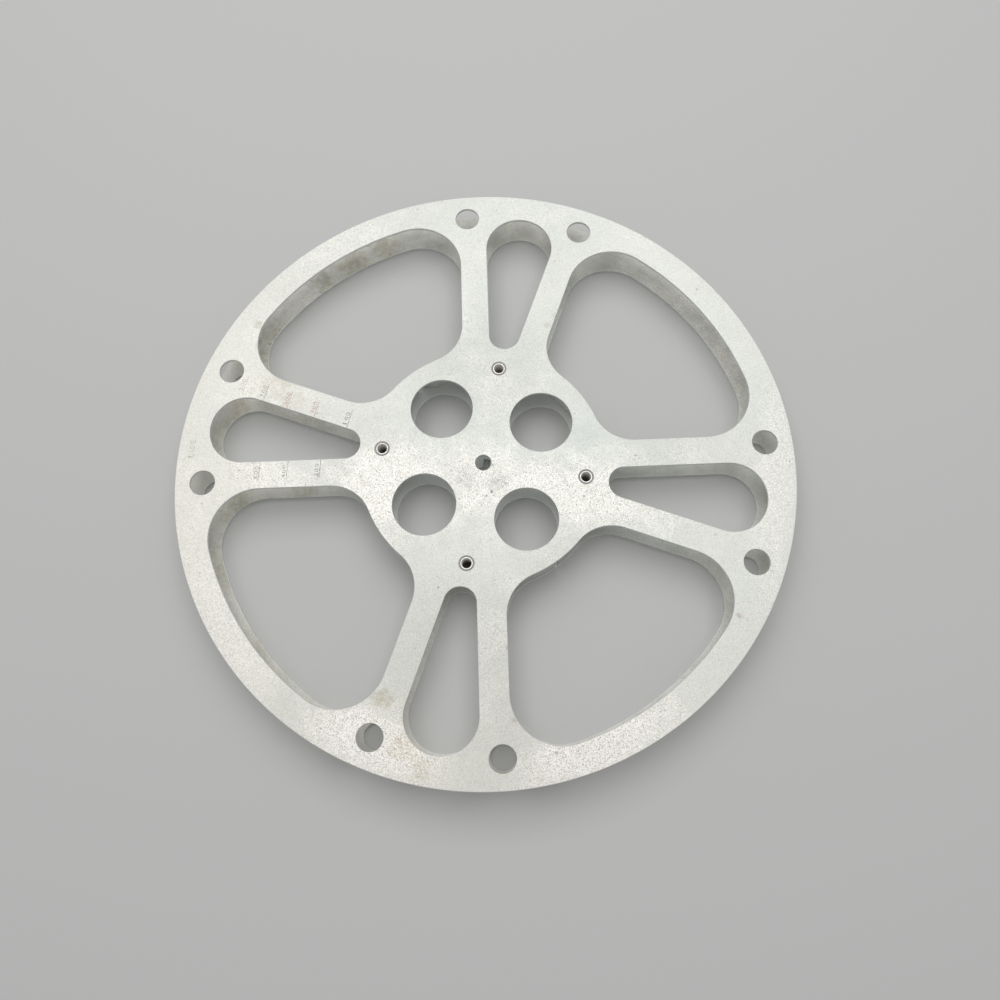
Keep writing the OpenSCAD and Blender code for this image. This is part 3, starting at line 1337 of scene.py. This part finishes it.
@dataclass
class Flange:
    """A pierced flange, punched out of sheet and broken at its edges."""

    sizes: ReelSizes
    node: str
    sheet: WornSheet
    film_side: FilmSide
    front: bool
    # How far the face lies below the marks that are printed on it
    print_t: float = 0.0
    edge_r: float = 0.2
    rim_segments: int = 3
    edge_segments: int = 2

    def draw(self) -> Drawing:
        """Draw the rim and everything that is punched out.

        Returns:
            The drawing.
        """
        sizes = self.sizes
        drawing = Drawing()
        drawing.circle(AXIS, sizes.flange_r)
        if self.front:
            drawing.circle(AXIS, sizes.spindle_d / 2)
        else:
            drawing.loop(sizes.keyed_hole())
        for spoke in range(SPOKES):
            turn = spoke * QUARTER
            drawing.loop(sizes.teardrop(), turn)
            drawing.loop(sizes.window(), turn)
            drawing.circle(polar(sizes.hub_hole_at, turn + QUARTER / 2), sizes.hub_hole_d / 2)
            drawing.circle(polar(sizes.rivet_at, turn), sizes.rivet_hole_r)
            for side in (-1, 1):
                place = polar(sizes.rim_in_r, turn + side * sizes.rim_hole_angle)
                drawing.circle(place, sizes.rim_hole_d / 2)
        return drawing

    def is_rivet_hole(self, edge: Edge) -> bool:
        """Say whether an edge lies on a rivet's hole."""
        return self.sizes.from_rivet(edge.verts[0].co) < self.sizes.rivet_hole_r + TOUCH

    def is_rim(self, edge: Edge) -> bool:
        """Say whether an edge lies on the rim."""
        return edge.verts[0].co.to_2d().length > self.sizes.flange_r - TOUCH

    def build(self) -> Mesh:
        """Make the flange lying on its outer face, then put it in its place.

        Returns:
            The flange's mesh.
        """
        sizes = self.sizes
        bm = self.draw().plate(sizes.flange_t - self.print_t)
        sunk = [e for e in level_edges(bm) if self.is_rivet_hole(e) and e.verts[0].co.z < TOUCH]
        break_edges(bm, sunk, sizes.sink_depth, 1)
        rim = [e for e in level_edges(bm) if self.is_rim(e)]
        break_edges(bm, rim, sizes.rim_break, self.rim_segments)
        clear = sizes.sink_r + self.edge_r
        punched = [e for e in level_edges(bm) if sizes.from_rivet(e.verts[0].co) > clear]
        break_edges(bm, punched, self.edge_r, self.edge_segments)
        if self.front:
            bmesh.ops.scale(bm, vec=(1, 1, -1), verts=bm.verts)
            bmesh.ops.reverse_faces(bm, faces=bm.faces)
            bmesh.ops.translate(bm, vec=(0, 0, sizes.reel_h - self.print_t), verts=bm.verts)
        bm.normal_update()
        return bm

    def part_of(self, face: bmesh.types.BMFace) -> FacePart:
        """Say which finish a face takes.

        Args:
            face: The face.

        Returns:
            The part of the flange that it is in.
        """
        if abs(face.normal.z) > LEVEL:
            return FacePart.SHEET if (face.normal.z > 0) == self.front else FacePart.FILM_SIDE
        if self.sizes.from_rivet(face.calc_center_median()) < self.sizes.sink_r:
            return FacePart.SINK
        return FacePart.CUT

    def make(self, cut: Material, sink: Material) -> None:
        """Build and dress the flange.

        Args:
            cut: Material of its punched walls and edges.
            sink: Material of the countersinks.
        """
        bm = self.build()
        for face in bm.faces:
            face.material_index = self.part_of(face).value
        shade_by_angle(bm)
        materials = [self.sheet.material(), self.film_side.material(), cut, sink]
        finish_piece(self.node + "_sheet", bm, materials, [self.node])


@dataclass
class CoreHalf:
    """Half of the core: half of a ring, cut off at the film slots, with bosses for two rivets."""

    sizes: ReelSizes
    node: str
    turn: float
    # Less than half of the slots' blunt lips
    edge_r: float = 0.2
    segments: int = 2

    def build(self) -> Mesh:
        """Draw the half, and raise it from the rear flange to the front one.

        Returns:
            The half's mesh.
        """
        sizes = self.sizes
        drawing = Drawing()
        drawing.loop(sizes.core_half(), self.turn)
        for spoke in range(SPOKES // 2):
            drawing.circle(polar(sizes.rivet_at, self.turn + spoke * QUARTER), sizes.rivet_hole_r)
        bm = drawing.plate(sizes.film_gap)
        clear = sizes.rivet_hole_r + TOUCH
        level = [e for e in level_edges(bm) if sizes.from_rivet(e.verts[0].co) > clear]
        break_edges(bm, level, self.edge_r, self.segments)
        bmesh.ops.translate(bm, vec=(0, 0, sizes.flange_t), verts=bm.verts)
        bm.normal_update()
        return bm

    def make(self, metal: Material) -> None:
        """Build and dress the half.

        Args:
            metal: Its material.
        """
        bm = self.build()
        shade_by_angle(bm)
        finish_piece(self.node + "_metal", bm, [metal], [self.node])


@dataclass
class Rivet:
    """A tubular rivet with both ends rolled outwards."""

    sizes: ReelSizes
    node: str
    turn: float
    roll_turn: float = math.radians(270)
    roll_steps: int = 18
    steps: int = 64

    def roll(self, bm: Mesh, height: float, start: float) -> list[Vert]:
        """Draw the section of one rolled end, beside the rivet's axis.

        Args:
            bm: The mesh that takes it.
            height: Height of the roll's middle.
            start: Angle where the roll starts, from the outward direction.

        Returns:
            The first and last points of the section.
        """
        sizes = self.sizes
        centre = Vector((sizes.roll_at, 0, height))
        offset = polar(sizes.roll_r, start)
        first = bm.verts.new(centre + Vector((offset.x, 0, offset.y)))
        swept = bmesh.ops.spin(
            bm, geom=[first], cent=centre, axis=(0, -1, 0), angle=self.roll_turn, steps=self.roll_steps
        )
        return [first, swept["geom_last"][0]]

    def build(self) -> Mesh:
        """Spin the tube's section about the rivet's axis, and put the rivet in its place.

        Returns:
            The rivet's mesh.
        """
        sizes = self.sizes
        bm = bmesh.new()
        neck = sizes.roll_drop + sizes.roll_r
        lower = self.roll(bm, sizes.roll_drop, HALF_TURN)
        upper = self.roll(bm, sizes.reel_h - sizes.roll_drop, -QUARTER)
        shank = [bm.verts.new((sizes.rivet_d / 2, 0, z)) for z in (neck, sizes.reel_h - neck)]
        for pair in ((lower[1], shank[0]), shank, (shank[1], upper[0]), (upper[1], lower[0])):
            bm.edges.new(pair)
        bmesh.ops.spin(
            bm,
            geom=bm.verts[:] + bm.edges[:],
            cent=(0, 0, 0),
            axis=(0, 0, 1),
            angle=FULL_TURN,
            steps=self.steps,
            use_merge=True,
        )
        bmesh.ops.remove_doubles(bm, verts=bm.verts, dist=TOUCH)
        bmesh.ops.recalc_face_normals(bm, faces=bm.faces)
        place = polar(sizes.rivet_at, self.turn)
        bmesh.ops.translate(bm, vec=place.to_3d(), verts=bm.verts)
        return bm

    def make(self, metal: Material) -> None:
        """Build and dress the rivet.

        Args:
            metal: Its material.
        """
        bm = self.build()
        for face in bm.faces:
            face.smooth = True
        finish_piece(self.node + "_tube", bm, [metal], [self.node])


@dataclass
class FootageMark:
    """One printed mark: a line across an arm, with its number beside it."""

    sizes: ReelSizes
    feet: int
    arm: Arm
    ink: Ink
    cover: float
    print_t: float
    line_w: float = 0.28
    line_len: float = 9.6
    line_steps: int = 24
    lean: float = math.radians(6)
    digit_h: float = 2.0
    digit_w: float = 1.7
    # Width of the figure 1, as a share of the others'
    one_share: float = 0.4
    digit_step: float = 2.45
    digit_gap: float = 0.55
    # Where the number starts along the line, from the line's end beside the teardrop
    inset: float = 1.6
    # How far along the teardrop's wide end the marks lie on its edge, as a share of that end's radius
    edge_share: float = 0.35
    # Distance from the spoke to a mark on the rim
    rim_aside: float = 9.0
    # How far a roll of film grows: its radius squared, per hundred feet
    roll_growth: float = 1500.0

    @property
    def radius(self) -> float:
        """Radius that this length of film fills on the core."""
        return math.sqrt(self.sizes.core_r**2 + self.roll_growth * self.feet / 100)

    def place(self) -> Matrix:
        """Frame of the mark: its line runs along X from the teardrop's edge, and its number lies above it.

        Returns:
            The matrix, whose origin lies on the teardrop's edge, or on the rim side of its wide end.
        """
        sizes = self.sizes
        along = min(self.radius, sizes.drop_wide_at + self.edge_share * sizes.drop_wide_r)
        half = (sizes.drop_side + along * math.sin(sizes.drop_lean)) / math.cos(sizes.drop_lean)
        aside = half if self.radius < sizes.rim_in_r else self.rim_aside
        middle = aside + self.line_len / 2
        x = -math.sqrt(self.radius**2 - middle**2)
        turn = Matrix.Rotation(QUARTER - self.arm.value * self.lean, 4, "Z")
        start = Vector((x, self.arm.value * middle, sizes.reel_h - self.print_t))
        return Matrix.Translation(start) @ turn @ Matrix.Translation((-self.line_len / 2, 0, 0))

    def add_figure(self, bm: Mesh, figure: str, start: float) -> None:
        """Add one figure of the number, as tall and as wide as the print.

        Args:
            bm: The mark's mesh.
            figure: The figure.
            start: Where it starts along the line.
        """
        curve = bpy.data.curves.new("figure", "FONT")
        curve.body = figure
        drawn = put("figure", curve)
        mesh = bpy.data.meshes.new_from_object(drawn.evaluated_get(bpy.context.evaluated_depsgraph_get()))
        before = set(bm.verts)
        bm.from_mesh(mesh)
        bpy.data.objects.remove(drawn)
        bpy.data.curves.remove(curve)
        bpy.data.meshes.remove(mesh)
        verts = [vert for vert in bm.verts if vert not in before]
        low = Vector((min(v.co.x for v in verts), min(v.co.y for v in verts), 0))
        high = Vector((max(v.co.x for v in verts), max(v.co.y for v in verts), 0))
        width = self.digit_w * (self.one_share if figure == "1" else 1)
        size = (width / (high.x - low.x), self.digit_h / (high.y - low.y), 1)
        bmesh.ops.translate(bm, vec=-low, verts=verts)
        bmesh.ops.scale(bm, vec=size, verts=verts)
        bmesh.ops.translate(bm, vec=(start, self.digit_gap, 0), verts=verts)

    def build(self) -> Mesh:
        """Lay out the line and the number, and give the print its thickness.

        Returns:
            The mark's mesh.
        """
        bm = bmesh.new()
        middle = Matrix.Translation((self.line_len / 2, 0, 0))
        size = Matrix.Diagonal((self.line_len / 2, self.line_w / 2, 1, 1))
        bmesh.ops.create_grid(bm, x_segments=self.line_steps, y_segments=1, size=1, matrix=middle @ size)
        figures = str(self.feet)
        spare = self.line_len - self.inset - len(figures) * self.digit_step
        start = self.inset if self.arm is Arm.UPPER else max(spare, 0)
        for count, figure in enumerate(figures):
            self.add_figure(bm, figure, start + count * self.digit_step)
        bmesh.ops.remove_doubles(bm, verts=bm.verts, dist=TOUCH)
        raise_faces(bm, self.print_t)
        bmesh.ops.transform(bm, matrix=self.place(), verts=bm.verts)
        return bm

    def make(self, sheet: WornSheet) -> None:
        """Build the mark and dress it in worn ink on its sheet.

        Args:
            sheet: Finish of the flange that it is printed on.
        """
        name = f"footage_mark_{self.feet}"
        start = self.place().translation.to_2d()
        reach = 2 * self.line_len
        spots = [s for s in sheet.spots if (Vector(s.at) - start).length < s.size + reach]
        patches = [p for p in sheet.patches if (Vector(p.at) - start).length < 2 * p.half_length + reach]
        ink = PrintedInk(
            name, sheet.shift, tuple(spots), tuple(patches), ink=self.ink.value, cover=self.cover
        )
        finish_piece(name, self.build(), [ink.material()])


@dataclass
class Reel:
    """The whole reel."""

    sizes: ReelSizes = field(default_factory=ReelSizes.from_frame)
    print_t: float = 0.02
    front: WornSheet = WornSheet("front_flange_worn_and_lit_sheet", (0, 0, 0), FRONT_SPOTS, FRONT_BARE_AND_SHEEN, FRONT_DULL_AND_SHADE)
    rear: WornSheet = WornSheet("rear_flange_worn_and_lit_sheet", (431, 287, 50))
    front_film_side: FilmSide = FilmSide("front_flange_film_side", (97, 613, 20))
    rear_film_side: FilmSide = FilmSide("rear_flange_film_side", (431, 287, 50), REAR_SPOTS, REAR_BARE_AND_SHEEN)
    rivet_nodes: tuple[str, ...] = ("rivet_right", "rivet_upper", "rivet_left", "rivet_lower")
    core_nodes: tuple[str, ...] = ("core_half_right", "core_half_left")

    def marks(self) -> list[FootageMark]:
        """List the printed marks.

        Returns:
            The marks, from the core outwards.
        """
        rows = (
            (100, Arm.UPPER, Ink.DARK, 0.80),
            (200, Arm.LOWER, Ink.DARK, 0.80),
            (300, Arm.UPPER, Ink.RED, 0.80),
            (400, Arm.LOWER, Ink.DARK, 0.70),
            (500, Arm.UPPER, Ink.RED, 0.75),
            (600, Arm.LOWER, Ink.BROWN, 0.85),
            (700, Arm.UPPER, Ink.DARK, 0.65),
            (800, Arm.LOWER, Ink.BROWN, 0.20),
            (900, Arm.UPPER, Ink.DARK, 0.35),
            (1200, Arm.LOWER, Ink.OLIVE, 0.60),
        )
        return [FootageMark(self.sizes, *row, self.print_t) for row in rows]

    def make(self) -> None:
        """Build and dress every piece."""
        sizes = self.sizes
        cut = CutMetal("punched_edge").material()
        sink = GrimySink("rivet_sink").material()
        Flange(sizes, "rear_flange", self.rear, self.rear_film_side, front=False).make(cut, sink)
        front = Flange(sizes, "front_flange", self.front, self.front_film_side, True, self.print_t)
        front.make(cut, sink)
        core = TurnedCore("core_turned", sizes.core_r, sizes.core_in_r).material()
        for half, node in enumerate(self.core_nodes):
            CoreHalf(sizes, node, half * HALF_TURN).make(core)
        edge_r = sizes.roll_at + sizes.roll_r
        tube = RolledTube("rivet_rolled", sizes.rivet_at, sizes.rivet_in_r, edge_r, sizes.reel_h).material()
        for spoke, node in enumerate(self.rivet_nodes):
            Rivet(sizes, node, spoke * QUARTER).make(tube)
        for mark in self.marks():
            mark.make(self.front)


# Studio


@dataclass
class Studio:
    """Pale floor, soft light, and the camera at the photograph's place.

    Lengths are in metres here, and angles in degrees.
    """

    floor_r: float = 4.0
    floor_steps: int = 96
    floor_tone: Colour = (0.62, 0.62, 0.61)
    floor_roughness: float = 0.85
    sky_tone: Colour = (0.98, 0.99, 1.0)
    sky_strength: float = 0.35
    # High up, a little behind the reel and to the left, so that its sheen lies across the hub
    key_at: tuple[float, float, float] = (-0.10, 0.50, 1.25)
    key_size: tuple[float, float] = (1.5, 1.4)
    key_power: float = 12.0
    focal_px: float = 771.38
    image_px: float = 1000.0
    sensor: float = 36.0
    nearest: float = 0.01
    camera_at: tuple[float, float, float] = (0.034872, -0.118144, 0.387903)
    camera_turn: tuple[float, float, float] = (15.5641, 1.2895, 8.6581)

    def floor(self) -> None:
        """Lay the floor that the reel lies on."""
        bm = bmesh.new()
        bmesh.ops.create_circle(bm, cap_ends=True, radius=self.floor_r, segments=self.floor_steps)
        even = Layers(opaque(self.floor_tone), self.floor_roughness, 0.0)
        put_mesh("studio_floor", bm, [Graph("studio_floor").finish(even)])

    def sky(self) -> None:
        """Light everything softly from all round."""
        world = bpy.data.worlds.new("studio_sky")
        bpy.context.scene.world = world
        world.use_nodes = True
        background = world.node_tree.nodes["Background"]
        background.inputs["Color"].default_value = opaque(self.sky_tone)
        background.inputs["Strength"].default_value = self.sky_strength

    def key(self) -> None:
        """Hang one wide soft lamp that points at the reel."""
        light = bpy.data.lights.new("studio_key", "AREA")
        light.shape = "RECTANGLE"
        light.size, light.size_y = self.key_size
        light.energy = self.key_power
        lamp = put("studio_key", light)
        lamp.location = self.key_at
        lamp.rotation_euler = (-Vector(self.key_at)).to_track_quat("-Z", "Y").to_euler()

    def camera(self) -> None:
        """Set up the camera."""
        lens = bpy.data.cameras.new("studio_camera")
        lens.sensor_width = self.sensor
        lens.lens = self.focal_px / self.image_px * self.sensor
        lens.clip_start = self.nearest
        camera = put("studio_camera", lens)
        camera.location = self.camera_at
        camera.rotation_euler = [math.radians(turn) for turn in self.camera_turn]
        bpy.context.scene.camera = camera

    def make(self) -> None:
        """Set up the whole studio."""
        bpy.context.scene.view_settings.view_transform = "Standard"
        self.floor()
        self.sky()
        self.key()
        self.camera()


def main() -> None:
    """Dress the reel and set up the studio."""
    logging.basicConfig(level=logging.INFO, format="%(name)s: %(message)s")
    Studio().make()
    Reel().make()


if __name__ == "__main__":
    main()
